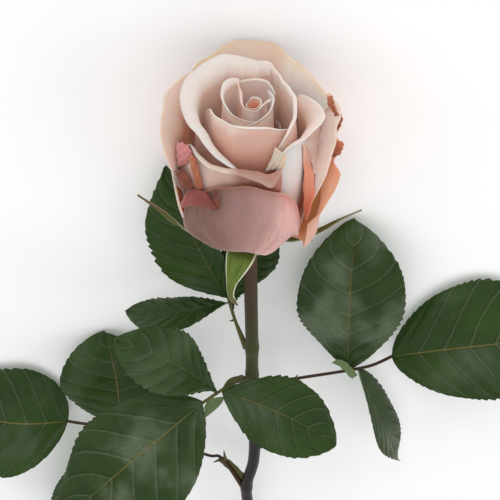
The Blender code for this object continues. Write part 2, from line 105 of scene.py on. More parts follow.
# Petals from the inside out. Each point of the free edge is (angle about the stem, distance from
# it, height above the hip, length of the flaring lip that ends there, how far that lip turns).
PETALS = [
    ("heart", "heart",
     [(-206, 1.2, 52, 0.3, 40), (-165, 1.3, 54, 0.4, 60), (-127, 2.2, 54.6, 0.5, 70),
      (-99, 3.8, 54.6, 0.6, 75), (-78, 4.2, 54.6, 0.7, 75), (-47, 4.1, 54.6, 0.7, 75),
      (-14, 3.9, 54.6, 0.7, 75), (15, 3.6, 54.6, 0.6, 70), (45, 2.9, 54.6, 0.5, 70),
      (78, 1.9, 54.4, 0.4, 70), (125, 1.8, 52, 0.3, 40)]),
    ("curl", "heart",
     [(123.3, 7.3, 59, 1, 60), (144.1, 4.5, 58, 1.4, 75), (195.5, 3.4, 56.6, 1.4, 80),
      (250.4, 4.9, 55.4, 1.2, 80), (281.2, 5.7, 54.6, 1, 80), (309.7, 5.4, 54.8, 1.2, 85),
      (329.3, 5.6, 55.6, 2.2, 95), (334.5, 6.9, 56.6, 3, 95), (341.3, 7.4, 57.2, 2.4, 80)]),
    ("inner_left", "inner",
     [(115.8, 8.4, 57.6, 1.6, 70), (130, 9.4, 58.2, 2.6, 85), (148.5, 9.8, 58.4, 2.8, 90),
      (169.4, 9.5, 58, 1.8, 85), (192.1, 9.3, 57.4, 1.4, 80), (215, 9.4, 56.6, 1.2, 80),
      (235.1, 9.8, 55.6, 1.1, 75), (253.5, 9.8, 54.4, 1, 70), (272, 9.5, 53.4, 1, 70),
      (298.9, 8.3, 51, 0.8, 60)]),
    ("inner_front", "inner",
     [(-108, 12.4, 52.6, 0.8, 60), (-72, 10.8, 55, 1, 80), (-35, 9, 57, 1.2, 80), (0, 7, 57.4, 1, 70),
      (32, 7, 56, 0.6, 50)]),
    ("inner_back", "inner",
     [(12, 8.4, 56, 0.6, 50), (45, 8.5, 57.4, 0.8, 60), (80, 8.3, 57.4, 0.8, 60), (124, 9, 56, 0.6, 50)]),
    ("middle_left", "inner",
     [(95, 10, 43, 0.6, 50), (145, 11.2, 43, 0.8, 60), (195, 11.6, 43, 0.8, 60), (240, 12, 42, 0.6, 50)]),
    ("middle_right", "inner",
     [(-58, 12.5, 42, 0.6, 50), (-20, 10.8, 43, 0.8, 60), (30, 10.2, 43, 0.8, 60), (85, 10, 43, 0.6, 50)]),
    ("cup_front", "cup",
     [(-192, 15, 43, 1, 50), (-180, 14.8, 49, 1, 50), (-166, 13.9, 53.6, 1, 60), (-135, 15.4, 57, 1.4, 80),
      (-116, 15.8, 56.6, 1.6, 90), (-92, 16, 56, 2.4, 120), (-70, 17.2, 56, 2.2, 110),
      (-46, 18.4, 54, 1, 70)]),
    ("cup_right", "cup",
     [(60, 13.5, 59.5, 1, 60), (37, 11.6, 60, 1, 60), (10, 11.8, 60, 1.2, 70), (-11, 13.8, 60, 1.6, 85),
      (-31, 16.8, 60, 2, 95), (-41, 19, 58.5, 2.2, 100), (-51, 21, 57, 2.2, 100), (-56, 21, 54.3, 2, 90),
      (-60, 20.2, 51.5, 1.2, 70), (-64, 19.2, 49, 0.8, 60)]),
    ("cup_left", "cup",
     [(55, 14.8, 57.5, 2, 40), (62, 14.4, 59, 4, 50), (82, 14.5, 60, 6, 60), (105, 17.1, 60.5, 7.5, 75),
      (121, 19.2, 60.5, 8.5, 90), (141, 19.5, 60, 9, 100), (153, 20.6, 59.5, 9, 105),
      (163, 21.5, 59, 9, 110), (180, 21.8, 58, 9, 118), (193, 22.1, 56, 8.5, 125), (205, 22.2, 54, 8, 130),
      (219, 21.5, 51.5, 7, 138), (233, 21.6, 48.5, 6, 145), (246, 20.6, 45, 5, 145),
      (255, 20.2, 43, 3, 130), (259, 19.4, 41.5, 1.5, 100)]),
    ("flap_right", "cup",
     [(-0.8, 14.5, 57.5, 3, 40), (-2.3, 17.6, 57.5, 5, 50), (-6.4, 20.3, 57, 7, 60),
      (-12.6, 23.3, 56, 9, 75), (-15.3, 24.7, 54.5, 9.5, 90), (-21.4, 24.6, 53.5, 8.5, 95),
      (-30.5, 23.8, 53, 6.5, 95), (-41.4, 23.1, 52.4, 4.5, 95), (-50.3, 22.2, 51.6, 3.2, 95),
      (-56, 20.8, 50.6, 2.4, 90), (-60.3, 18.9, 49, 1.8, 80), (-63.3, 18.1, 46, 1.2, 70),
      (-66.3, 17.7, 43, 1, 60), (-68.3, 17.4, 39.5, 0.8, 50)]),
    ("fold_front", "fold",
     [(-168, 24, 42, 1, 60), (-151, 24, 46, 1.2, 60), (-142.8, 23.6, 48, 1.5, 70),
      (-137.1, 24, 46.5, 2.5, 100), (-129.3, 24, 45, 3.2, 120), (-119.6, 23.4, 43.6, 3.6, 130),
      (-110.5, 22.8, 42.6, 3.8, 140), (-100, 22, 42.2, 4.2, 150), (-90.5, 22.8, 41.8, 5.6, 155),
      (-81.9, 24.4, 41.4, 7.4, 160), (-75.2, 25.6, 41.2, 8.4, 160), (-71.4, 25, 42.6, 6, 150),
      (-67.8, 24.4, 43.8, 3.6, 130), (-64.4, 23.9, 44.8, 1.4, 80)]),
    ("outer_left", "outer",
     [(134, 25.8, 53, 4, 40), (142, 27.1, 53, 7, 45), (152, 27.3, 53, 10, 50), (161, 28.3, 52.5, 12.5, 58),
      (170, 28.4, 51, 13, 62), (179, 28, 49, 12.5, 62), (188, 27.6, 46.5, 11, 60),
      (196, 27.6, 43.5, 10, 60), (202, 27.9, 40, 9, 55), (207, 27.9, 35.5, 8, 50),
      (209.5, 26.6, 30, 6, 45)]),
    ("outer_back", "outer",
     [(138, 27, 50, 6, 45), (131, 26.9, 52, 8, 48), (127, 26.6, 53.5, 10, 50), (117, 28, 55, 13, 54),
      (103, 30.7, 56.5, 15, 58), (94, 29.9, 57, 16, 60), (83, 30, 57, 16, 60), (75, 30.4, 57, 16, 60),
      (61, 25.4, 56.5, 14, 56), (45, 24.6, 55.5, 12, 54), (30, 24.6, 54.5, 11, 52),
      (15, 25.2, 52.5, 10, 50), (6, 25.4, 50, 8, 45)]),
    ("outer_right", "outer",
     [(47, 25.6, 50, 3, 40), (33, 24.6, 52, 5.5, 45), (18, 24.8, 52, 9, 50), (5, 26, 51, 13, 58),
      (-4, 27, 49.5, 15, 62), (-10, 27.4, 48, 15, 62), (-17, 27.4, 46, 15, 60), (-27, 27.7, 44, 15, 60),
      (-33, 28.3, 42, 15, 60), (-38, 29, 38, 14, 58), (-41, 28.4, 32, 11, 52), (-43.5, 26.9, 23, 6, 40)]),
    ("guard_front", "face",
     [(-146, 26.4, 17, 0.8, 30), (-143, 27.7, 22, 1, 40), (-140, 27.3, 26, 1, 40), (-134, 25.4, 31, 1, 45),
      (-125, 23.2, 33.8, 1.2, 50), (-116, 21.2, 36, 1.4, 60), (-112, 20.3, 37, 1.4, 60),
      (-106, 20.2, 36.8, 1.4, 60), (-93, 20.3, 37.2, 1.6, 60), (-82, 20.8, 37.2, 1.6, 60),
      (-72, 21.9, 36.6, 1.6, 60), (-66, 23.1, 35.5, 1.6, 60), (-61, 24.9, 33.3, 1.5, 60),
      (-56, 27.1, 29.5, 1.4, 50), (-55, 28.3, 26.5, 1.2, 45), (-53.6, 28.2, 22.5, 0.9, 35)]),
    ("guard_right", "guard",
     [(49, 31, 42, 2, 40), (36, 29.8, 45, 3, 45), (28, 29.1, 47, 4, 50), (27, 30, 47.5, 4.4, 50),
      (18, 28.8, 46, 4.4, 50), (13, 29.8, 46, 5.6, 55), (6, 30.2, 45, 7, 55), (-1, 28.5, 43.5, 7, 55),
      (-9, 28.1, 43, 7.6, 58), (-14, 30.6, 43, 10, 60), (-18, 30.7, 41, 10.5, 60), (-25, 28.6, 40, 8.5, 58),
      (-26.9, 29.8, 39.4, 9, 58), (-28.2, 32.9, 38.6, 12, 60), (-30.9, 34.6, 37.4, 13, 60),
      (-32.7, 33, 34.5, 12, 58), (-36.5, 32, 30, 9, 55), (-38.8, 30.2, 25.5, 6, 50),
      (-44.1, 29.1, 22.5, 3, 45), (-48.2, 28.6, 21, 1.5, 40)]),
    ("guard_left", "outer",
     [(166, 24, 38, 2, 40), (186, 26.2, 38, 2.4, 45), (199, 27.6, 36.5, 2.4, 45),
      (207, 28.4, 34.5, 2.4, 45), (212, 28.8, 31, 2.2, 45), (214.5, 28.2, 25, 1.8, 40),
      (216, 27.4, 19, 1.2, 35)]),
    ("guard_back_left", "guard",
     [(82, 28.6, 22, 1, 30), (104, 28.6, 38, 2, 40), (132, 28.6, 41, 2, 40), (164, 28, 24, 1, 30)]),
    ("guard_back_right", "guard",
     [(20, 28.2, 22, 1, 30), (46, 28.8, 39, 2, 40), (72, 29, 41, 2, 40), (100, 29.2, 24, 1, 30)]),
]
# Petals with a look of their own; the others have the look of their kind.
PETAL_LOOKS = {"outer_left": "left", "flap_right": "flap", "fold_front": "folded", "outer_back": "back"}

# Dried and folded bits of petal, and strips that fill crevices: the petal they belong to, their look,
# how far the middle bulges outward, and the two long edges. Those with a smooth look have straight ends.
SMOOTH_LOOKS = ("corner", "painted_glow", "pale")
FLAPS = [
    ("flap_left", "guard_left", "magenta", 1.6,
     [(-23.5, -3.9, 40.8), (-23.6, -6.9, 38.5), (-23.4, -9.4, 34.7)],
     [(-21.2, -11.5, 47.2), (-18.6, -16.2, 47.4), (-20, -14, 40.4)]),
    ("strip_tan", "guard_left", "tan", 1,
     [(-19.5, -13.2, 44.5), (-18.5, -15.2, 40.1), (-17.6, -16.3, 31.5)],
     [(-18.1, -17.3, 46.8), (-16.3, -17.9, 42), (-15, -18.6, 33.2)]),
    ("strip_brown", "guard_left", "brown", 0.8,
     [(-24.3, -12.6, 36), (-23.3, -13.9, 33.2), (-21.8, -14.3, 29.2)],
     [(-21.4, -14.5, 38.6), (-19.6, -16.2, 36.4), (-18, -17, 32.3)]),
    ("curl_front", "guard_front", "crimson", 1.1,
     [(-22.2, -17, 26.8), (-20.5, -16.6, 30.2), (-17.2, -18, 33.2), (-14.5, -20, 33.8), (-11.9, -21, 31.6),
      (-9.5, -21.6, 28.7)],
     [(-21.8, -18.6, 25.6), (-19.1, -20.9, 28.7), (-16.1, -22.4, 30), (-13.9, -22.6, 28.8),
      (-11.8, -22.6, 27.8), (-9.5, -21.9, 27.8)]),
    ("notch_front", "guard_front", "brown", 0.5,
     [(-11.8, -21, 34.4), (-11.2, -21.3, 31.1), (-9.8, -21.7, 28.3)],
     [(-9.9, -21.8, 34.6), (-10.1, -22.1, 31.7), (-9.4, -21.7, 28.2)]),
    ("corner_right", "flap_right", "corner", 0.2,
     [(8, -17.2, 49.6), (9.7, -18.3, 49), (11.5, -19.3, 48.2)],
     [(4.8, -18.2, 41), (7.6, -19.2, 42.4), (10.5, -20, 43.8)]),
    # An orange strip laid in the crevice: inner petal colour together with painted light, the glow of light
    # through the petals.
    ("crease_right", "outer_right", "painted_glow", 0.4,
     [(16.6, -13.5, 47.6), (17, -14, 41.1), (17.3, -15.1, 35.1), (17.4, -17, 29.6), (17.5, -17.1, 23.9),
      (18, -17.6, 19.1)],
     [(17.1, -12.8, 47.2), (19.4, -10.1, 38.7), (20.4, -15, 37.1), (20.6, -17.7, 33.8), (20.1, -19.4, 28.9),
      (18.8, -18.9, 20.7)]),
    ("fill_right", "outer_right", "pale", 0.3,
     [(18.9, -4.2, 47.4), (18.8, -6.5, 45.8), (17.4, -11.2, 46.2), (19.3, -10.2, 39), (20.3, -14.9, 37.1)],
     [(24.3, 2.9, 41.7), (23.7, -1.3, 40.9), (23.2, -4.7, 39.5), (22.4, -9.9, 37.7), (21, -15.3, 37)]),
    ("torn_top", "guard_right", "tan", 0.5,
     [(25, 5.3, 52.4), (25.6, 3, 50.3), (27.5, -0.6, 48.9)],
     [(26.6, 5.7, 52.4), (27, 2.5, 51), (28.3, -1.4, 50)]),
    ("torn_red", "guard_right", "tan", 0.4,
     [(27, 4.9, 48.3), (28, 1.6, 47.1), (27.8, -3.2, 45.1)],
     [(28.1, 4.8, 48.1), (30, 1.1, 46.6), (28.8, -2.4, 45.9)]),
    ("torn_low", "guard_right", "tan", 0.5,
     [(27, -8, 45.2), (26.9, -8.4, 42.2), (26.1, -10.2, 39.8)],
     [(29.8, -7.1, 43.8), (29.8, -8.4, 42), (28.7, -9.8, 40.5)]),
]

# Sepals: name, midline from the hip to the tip, half width.
SEPALS = [
    ("left", [(-7.4, 0, -3), (-15, 0, -4), (-24, -1, 0), (-31, -4, 11), (-37.5, -8, 21.5)], 2.8),
    ("right", [(7.4, -1, -3), (15, -1, -4.5), (24, -1, -2), (31.5, -1, 3.5), (38.5, -2.5, 9.5)], 2.8),
    ("front", [(-1.4, -7.4, -3), (-3.8, -13.5, -3.5), (-6.4, -16, -12), (-6.8, -14.5, -21),
               (-4.6, -11.5, -29.5)], 4.9),
    ("back_right", [(6, 4.5, -3), (13, 7, -5), (19, 8.5, -10), (23, 9, -16.5)], 3),
    ("back_left", [(-5, 5.6, -3), (-8.5, 10, -4.5), (-11, 13.5, -6), (-13, 16, -7.5)], 3),
]

# Each compound leaf: its stalk, then its leaflets: (place, where on the stalk, tip, direction across
# the blade, width, where it is widest, bluntness, lean of the blade to one side, sideways bend).
LEAVES = [
    ("back", [(-1.6, 1.2, -68.5), (-5.5, 5, -58), (-7.6, 8.6, -52), (-8.4, 10.4, -49.5)], [
        ("terminal", 1, (-30.8, 22.4, 8), (0.92, -0.09, 0.38), 27.3, 1.01, 0.96, -0.34, -0.001),
        ("right", 0.55, (11, 14.2, -22.2), (0.85, -0.34, -0.41), 19.8, 1.64, 0.95, -0.17, -0.141),
        ("left", 0.75, (-49.8, 14.2, -62.6), (0.11, 0.99, 0.04), 19.5, 1.26, 0.85, -0.14, -0.126),
    ]),
    ("front", [(-2.6, -2.4, -84), (-7, -8, -79.5), (-12.2, -14, -77.5), (-18.5, -19, -78)], [
        ("terminal", 1, (-79.1, -44.2, -127.7), (-0.63, 0.65, 0.44), 47.7, 0.79, 0.85, -0.08, -0.001),
        ("right", 0.62, (34.2, -26.4, -95.4), (-0.44, -0.59, -0.68), 30.5, 1.08, 0.71, 0, -0.049),
        ("left", 0.7, (-49, -21.5, -37.2), (0.46, 0.71, 0.54), 25.8, 1.52, 0.77, -0.02, 0.043),
    ]),
    ("left", [(-3.4, 0.2, -166), (-12.6, 2, -146.5), (-19, 3, -145.5), (-38, 5, -137), (-56, 7, -130.5),
              (-73, 8.5, -129.5), (-80.5, 9.5, -129)], [
        ("terminal", 1, (-137.9, 14.3, -115.9), (0.23, 0.62, 0.75), 50, 0.8, 0.66, 0.04, -0.082),
        ("upper", 0.68, (-60.6, 20.2, -81.2), (1, -0.02, 0.07), 49.6, 1.23, 0.66, 0.08, 0.05),
        ("lower", 0.72, (-91, 8, -213), (-0.94, -0.11, 0.33), 30, 1, 0.65, 0, 0),
    ]),
    ("right", [(4.8, 1.2, -92), (19.5, 5, -93), (40, 9, -93), (51, 10, -90.5), (59, 11.5, -86.5)], [
        ("terminal", 1, (131.1, 8.4, -70.6), (0.13, -0.68, -0.72), 47.6, 0.95, 0.62, -0.11, -0.017),
        ("upper", 0.52, (40.3, 24, -20.1), (1, -0.07, 0.03), 42.4, 1.31, 0.67, 0.02, -0.012),
        ("lower", 0.6, (66.9, 4, -150.8), (-0.37, -0.93, -0.05), 20.6, 0.77, 0.95, -0.01, 0.096),
    ]),
]
# Leaflets that get more painted sheen, so they read paler and glossier.
MORE_PAINTED_SHEEN_LEAFLETS = ("right_upper", "front_terminal", "right_lower")
MAROON_LEAVES = ("left", "right")

# Leafy wings beside the leaf stalks: name, leaf, look, bulge, and the two long edges.
STIPULES = [
    ("stipule_left", "left", "olive", 0.8,
     [(-13.2, 3, -146.3), (-8.4, 2, -149), (-2.3, 0.6, -157.4)],
     [(-14.1, 3, -150.1), (-10, 2, -154.9), (-3.2, 0.6, -162.3)]),
    ("stipule_front", "front", "olive", 0.5,
     [(-10.9, -11.5, -78.4), (-8.1, -8.6, -76), (-3, -4, -79.4)],
     [(-10.6, -11.5, -80.2), (-6.5, -8.6, -80), (-2.4, -4, -81.8)]),
    ("wing_front", "front", "pale", 0.4,
     [(-18.2, -16, -91.4), (-17.9, -16.5, -84.1), (-16.1, -16.5, -77.9)],
     [(-17.1, -15.5, -91.2), (-12.4, -15, -85.4), (-9.9, -14, -80.9)]),
    ("stalk_right_lower", "right", "pale", 0.5,
     [(33.9, 7, -85.2), (37.4, 7, -88.1), (42.7, 6.5, -95.1)],
     [(35.7, 7, -82.7), (40.3, 7, -85.6), (44.7, 6.5, -92.7)]),
]

# Prickles: name, the leaf whose stalk they grow on, foot, point, foot radius.
PRICKLES = [
    ("prickle_left_up", "left", (-11.1, 2.2, -148.1), (-11.6, 1, -138.8), 1),
    ("prickle_left_low", "left", (-13.1, 2.4, -147.9), (-16.7, 1.6, -149.2), 0.9),
    ("prickle_back", "back", (-6.4, 5.4, -56.9), (-8.2, 4.4, -56.3), 0.6),
    ("prickle_right_up", "right", (18.8, 4, -91.7), (19.6, 2.4, -87.2), 0.6),
    ("prickle_right_low", "right", (19.3, 4, -92.8), (21.9, 3, -92.6), 0.6),
]


# ---- placing

def rose_to_room():
    """Matrix from the upright rose in millimetres to where the CAD lies, in metres."""
    sine, cosine = math.sin(LEAN_WHEN_LYING), math.cos(LEAN_WHEN_LYING)
    reach = Vector((max(radius for radius, height in HIP_PROFILE),
                    max(height * cosine + radius * sine for radius, height in HIP_PROFILE),
                    max(radius * cosine + height * sine for radius, height in HIP_PROFILE)))
    turn = Matrix.Rotation(-(math.pi / 2 - LEAN_WHEN_LYING), 4, "X")
    place = Vector(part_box("hip")[1]) - reach * MM
    return Matrix.Translation(place) @ turn @ Matrix.Scale(MM, 4)


TO_ROOM = rose_to_room()
ROOM_TURN = np.array(TO_ROOM)[:3, :3]
ROOM_PLACE = np.array(TO_ROOM)[:3, 3]


def add_object(name, data):
    item = bpy.data.objects.new(name, data)
    bpy.context.scene.collection.objects.link(item)
    return item


def make_piece(name, points, faces, material, uv, side=None, node=None):
    """Mesh object from upright millimetre points, laid down and put in place of its CAD node."""
    mesh = bpy.data.meshes.new(name + "_fine")
    room = points @ ROOM_TURN.T + ROOM_PLACE
    mesh.from_pydata(room.tolist(), [], faces)
    layer = mesh.uv_layers.new(name="shape")
    index = np.zeros(len(mesh.loops), dtype=np.int32)
    mesh.loops.foreach_get("vertex_index", index)
    layer.data.foreach_set("uv", np.asarray(uv, dtype=np.float32)[index].ravel())
    if side is not None:
        attribute = mesh.attributes.new("side", "FLOAT", "POINT")
        attribute.data.foreach_set("value", np.asarray(side, dtype=np.float32))
    mesh.materials.append(material)
    mesh.shade_smooth()
    mesh.update()
    piece = add_object(name + "_fine", mesh)
    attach(piece, "root")
    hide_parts(node or name)


# ---- shapes

def unit(vectors):
    """The same directions, each with length 1."""
    return vectors / np.linalg.norm(vectors, axis=-1, keepdims=True)


def make_sheet(name, grid, thickness, u, v, material, node=None):
    """Thin closed sheet round the grid, which knows its outer side (1) from its inner side (0)."""
    rows, columns = grid.shape[:2]
    normal = np.cross(np.gradient(grid, axis=1), np.gradient(grid, axis=0))
    length = np.linalg.norm(normal, axis=2, keepdims=True)
    offset = normal / np.maximum(length, 1e-9) * (thickness / 2)
    points = np.concatenate([(grid + offset).reshape(-1, 3), (grid - offset).reshape(-1, 3)])
    count = rows * columns
    faces = []
    for i in range(rows - 1):
        for j in range(columns - 1):
            a = i * columns + j
            faces.append((a, a + 1, a + columns + 1, a + columns))
            faces.append((count + a, count + a + columns, count + a + columns + 1, count + a + 1))
    rim = list(range(columns))
    rim += [i * columns + columns - 1 for i in range(1, rows)]
    rim += [(rows - 1) * columns + j for j in range(columns - 2, -1, -1)]
    rim += [i * columns for i in range(rows - 2, 0, -1)]
    for a, b in zip(rim, rim[1:] + rim[:1]):
        faces.append((a, count + a, count + b, b))
    uv = np.stack(np.broadcast_arrays(u, v, grid[..., 0])[:2], axis=-1)
    uv = np.concatenate([uv.reshape(-1, 2)] * 2)
    side = np.concatenate([np.ones(count), np.zeros(count)])
    make_piece(name, points, faces, material, uv, side, node)


def wall(rings, sides):
    """Faces and uv of a wall of rings, one above the other, with a flat face at each end."""
    last = rings - 1
    faces = []
    for i in range(last):
        for s in range(sides):
            n = (s + 1) % sides
            faces.append((i * sides + s, i * sides + n, (i + 1) * sides + n, (i + 1) * sides + s))
    faces.append(tuple(range(sides - 1, -1, -1)))
    faces.append(tuple(last * sides + s for s in range(sides)))
    uv = [(s / sides, i / last) for i in range(rings) for s in range(sides)]
    return faces, uv


def tube(points, radii, sides):
    """Points, faces and uv of a closed tube through the points."""
    turns = np.linspace(0, 2 * math.pi, sides, endpoint=False)
    guide = np.array((0.2, 1, 0.1))
    last = len(points) - 1
    rings = []
    for i, (point, radius) in enumerate(zip(points, radii)):
        along = unit(points[min(i + 1, last)] - points[max(i - 1, 0)])
        across = unit(np.cross(along, guide))
        other = np.cross(along, across)
        rings.append(point + radius * (np.outer(np.cos(turns), across) + np.outer(np.sin(turns), other)))
    return np.concatenate(rings), *wall(last + 1, sides)


def ease_between(f, start, end, leaving, arriving):
    """Point at f (0 to 1) on a curve from start to end, with the given slopes at its two ends."""
    return ((2 * f**3 - 3 * f**2 + 1) * start + (f**3 - 2 * f**2 + f) * leaving
            + (3 * f**2 - 2 * f**3) * end + (f**3 - f**2) * arriving)


def smooth_path(points, t):
    """Points at each t (0 to 1) on a smooth curve through the given points."""
    points = np.asarray(points, dtype=float)
    last = len(points) - 1
    place = np.clip(t, 0, 1) * last
    i = np.minimum(place.astype(int), last - 1)
    before, start = points[np.maximum(i - 1, 0)], points[i]
    end, after = points[i + 1], points[np.minimum(i + 2, last)]
    return ease_between((place - i)[..., None], start, end, (end - before) / 2, (after - start) / 2)


def smooth_values(xs, ys, x):
    """Smooth curve through (xs, ys), read at x, level beyond both ends."""
    slope = np.gradient(ys, xs)
    x = np.clip(x, xs[0], xs[-1])
    i = np.clip(np.searchsorted(xs, x, side="right") - 1, 0, len(xs) - 2)
    width = xs[i + 1] - xs[i]
    f = (x - xs[i]) / width
    return ease_between(f, ys[i], ys[i + 1], width * slope[i], width * slope[i + 1])


# ---- petals

def receptacle_point(order):
    """Radius and height where a petal stands on the receptacle; order runs from inside (0) out (1)."""
    inner, outer = RECEPTACLE_RADII
    radius = inner + (outer - inner) * order
    return radius, TOUCH_GAP + 0.1 - RECEPTACLE_SLOPE * (radius - inner)


def cup_radius(belly, order, height, fullness):
    """Distance from the stem of a cup of the given belly radius, at a height."""
    base_radius, base_height = receptacle_point(order)
    swell = 1 - np.exp(-(height - base_height) / fullness)
    closing = 0.2 * np.clip((34 - belly) / 10, 0, 1)
    lean_in = 1 - closing * np.clip((height - 25) / 35, 0, 1) ** 2
    return (base_radius + (belly - base_radius) * swell) * lean_in


def belly_for(radius, height, order, fullness):
    """The belly radius with which a cup passes through a radius at a height."""
    low, high = 0.5, 60.0
    for _ in range(30):
        middle = (low + high) / 2
        if cup_radius(middle, order, height, fullness) < radius:
            low = middle
        else:
            high = middle
    return low


def lay_over(sectors, wanted, covered):
    """Widen a petal where it would touch those inside it, and record what it covers."""
    reach = 3
    window = 2 * reach + 1
    count = len(covered)
    wrapped = sectors % count
    below = np.max([covered[(wrapped + n) % count] for n in range(-reach, reach + 1)], axis=0)
    widest = np.maximum(wanted, below + PETAL_SPACING)
    padded = np.pad(widest, reach, mode="edge")
    smooth = np.convolve(padded, np.ones(window) / window, mode="valid")
    np.maximum.at(covered, wrapped, smooth)
    return smooth


def lip_path(lip, curl, tightness):
    """Outward and upward offsets along a lip that turns outward, a tight one mostly at its end."""
    place = ((np.arange(LIP_STEPS) + 0.5) / LIP_STEPS)[:, None]
    power = 1 + np.maximum(curl - math.radians(90), 0) * tightness
    bend = curl * place ** power
    outward = np.cumsum(np.sin(bend) * lip / LIP_STEPS, axis=0)
    upward = np.cumsum(np.cos(bend) * lip / LIP_STEPS, axis=0)
    return outward, upward


def petal_grid(edge, kind, order, covered, seed):
    """Middle layer of a petal, from its claw to the end of its flaring lip, with its u and v."""
    angles, rim_radius, rim_height, lip, curl = np.array(sorted(edge), dtype=float).T
    first, last = angles[0], angles[-1]
    centre, spread = (first + last) / 2, (last - first) / 2
    full_width_at, roundness, fullness, tightness = KINDS[kind]
    out_at_edge, up_at_edge = lip_path(lip, np.radians(curl), tightness)
    start_radius, start_height = rim_radius - out_at_edge[-1], rim_height - up_at_edge[-1]
    bellies = [belly_for(r, h, order, fullness) for r, h in zip(start_radius, start_height)]
    sectors = np.arange(math.floor(first / SECTOR) - 1, math.ceil(last / SECTOR) + 2)
    wanted = smooth_values(angles, np.array(bellies), sectors * SECTOR)
    radii = lay_over(sectors, wanted, covered)

    rng = np.random.default_rng(seed)
    phases = rng.uniform(0, 2 * math.pi, 4)
    columns = int(np.clip(spread, 40, 110))
    side = np.linspace(-1, 1, columns + 1)
    levels = 1 - (1 - np.linspace(0, 1, PETAL_ROWS)[:, None]) ** 1.35
    opening = np.sin(math.pi / 2 * np.minimum(levels / full_width_at, 1)) ** roundness
    angle = centre + (CLAW_HALF_ANGLE + (spread - CLAW_HALF_ANGLE) * opening) * side
    run = np.radians(angle) * rim_radius.mean()
    base_height = receptacle_point(order)[1]
    waver = 0.12 * np.sin(run * 0.5 + phases[0]) + 0.06 * np.sin(run * 1.3 + phases[1])
    rim = smooth_values(angles, start_height, angle) + waver
    height = base_height + (rim - base_height) * levels
    belly = np.interp(angle, sectors * SECTOR, radii)
    ruffle = 0.22 * np.sin(run * 0.3 + phases[2]) + 0.1 * np.sin(run * 0.8 + phases[3])
    radius = cup_radius(belly, order, height, fullness) + ruffle * min(1, belly.mean() / 15) * levels ** 4

    lip = np.maximum(smooth_values(angles, lip, angle[-1]), 0.05)
    curl = np.radians(smooth_values(angles, curl, angle[-1]))
    outward, upward = lip_path(lip, curl, tightness)
    radius = np.concatenate([radius, radius[-1] + outward])
    height = np.concatenate([height, height[-1] + upward])
    turn = np.radians(np.concatenate([angle, np.repeat(angle[-1:], LIP_STEPS, axis=0)]))
    grid = np.stack([radius * np.cos(turn), radius * np.sin(turn), height], axis=-1)
    length = np.cumsum(np.linalg.norm(np.diff(grid, axis=0, prepend=grid[:1]), axis=2), axis=0)
    return grid, (side + 1) / 2, length / length[-1]


def make_petals(materials):
    covered = np.zeros(360 // SECTOR)
    for number, (name, kind, edge) in enumerate(PETALS):
        order = number / (len(PETALS) - 1)
        grid, u, v = petal_grid(edge, kind, order, covered, seed=number + 3)
        material = materials[PETAL_LOOKS.get(name, kind)]
        make_sheet("petal_" + name, grid, PETAL_THICKNESS, u, v, material)


def flap_grid(start, end, bulge, raggedness, seed):
    """Crumpled strip between two long edges, with ragged ends."""
    rng = np.random.default_rng(seed)
    along, over = np.linspace(0, 1, FLAP_ROWS)[:, None], np.linspace(0, 1, FLAP_COLUMNS)[None, :]
    ragged = rng.uniform(-0.05, 0.05, over.shape) * raggedness
    place = np.clip(along + ragged * (2 * along - 1) ** 6, 0, 1)
    first, second = smooth_path(start, place), smooth_path(end, place)
    grid = first * (1 - over[..., None]) + second * over[..., None]
    outward = unit(np.mean(start + end, axis=0) * (1, 1, 0))
    crumple = 0.18 * np.sin(along * 23 + over * 5 + seed) + 0.12 * np.sin(along * 9 - over * 11 + seed)
    lift = bulge * np.sin(math.pi * over) * (0.6 + 0.4 * np.sin(math.pi * along)) + crumple
    return grid + outward * lift[..., None], over, along * 0.9


def make_flaps(materials):
    for seed, (name, petal, look, bulge, start, end) in enumerate(FLAPS):
        raggedness = 0 if look in SMOOTH_LOOKS else 1
        grid, u, v = flap_grid(start, end, bulge, raggedness, seed)
        make_sheet(name, grid, PETAL_THICKNESS, u, v, materials[look], "petal_" + petal)


# ---- leaves

def leaflet_grid(start, tip, across, width, widest, bluntness, lean, bend, seed):
    """Middle layer of a serrated oval blade with sunken veins, u across and v along."""
    rng = np.random.default_rng(seed)
    length = np.linalg.norm(tip - start)
    along = (tip - start) / length
    across = np.asarray(across, dtype=float)
    across = unit(across - along * across.dot(along))
    upward = np.cross(across, along)
    level = np.linspace(0, 1, LEAF_ROWS)[:, None]
    mound = np.sin(math.pi * level)
    side = np.linspace(-1, 1, LEAF_COLUMNS)
    side = np.sign(side) * np.abs(side) ** 0.9
    out = np.abs(side)

    outline = np.maximum(np.sin(math.pi * level ** widest), 0) ** bluntness * width / 2
    teeth = length / rng.uniform(2.9, 3.6)
    phase = (level * teeth + 0.25 * np.sin(level * 21 + seed)) % 1
    tooth = np.where(phase < 0.8, phase / 0.8, (1 - phase) / 0.2)
    bite = 0.95 * (0.6 + 0.4 * np.sin(level * 13 + seed * 2)) * mound ** 0.4
    wave = 1 + 0.03 * np.sin(level * 8 + seed) + 0.015 * np.sin(level * 17 + seed * 3)
    outline = np.maximum(outline * wave + (tooth - 0.5) * bite, 0.35) * (1 + lean * side)

    vein_place = (level * SIDE_VEINS - (VEIN_SWEEP * out + VEIN_HOOK * out ** 3)) % 1
    quilt = (np.sin(math.pi * vein_place) * np.sin(math.pi * out)) ** 0.6
    droop = 1.3 * np.sin(level * 8 + side * 2 + rng.uniform(0, 6)) * out ** 2
    lift = 0.16 * out * outline + quilt * mound ** 0.5 + droop
    middle = start + (tip - start) * level + (upward * 0.07 + across * bend) * length * mound
    grid = middle[:, None, :] + across * (side * outline)[..., None] + upward * lift[..., None]
    return grid, (side + 1) / 2, level


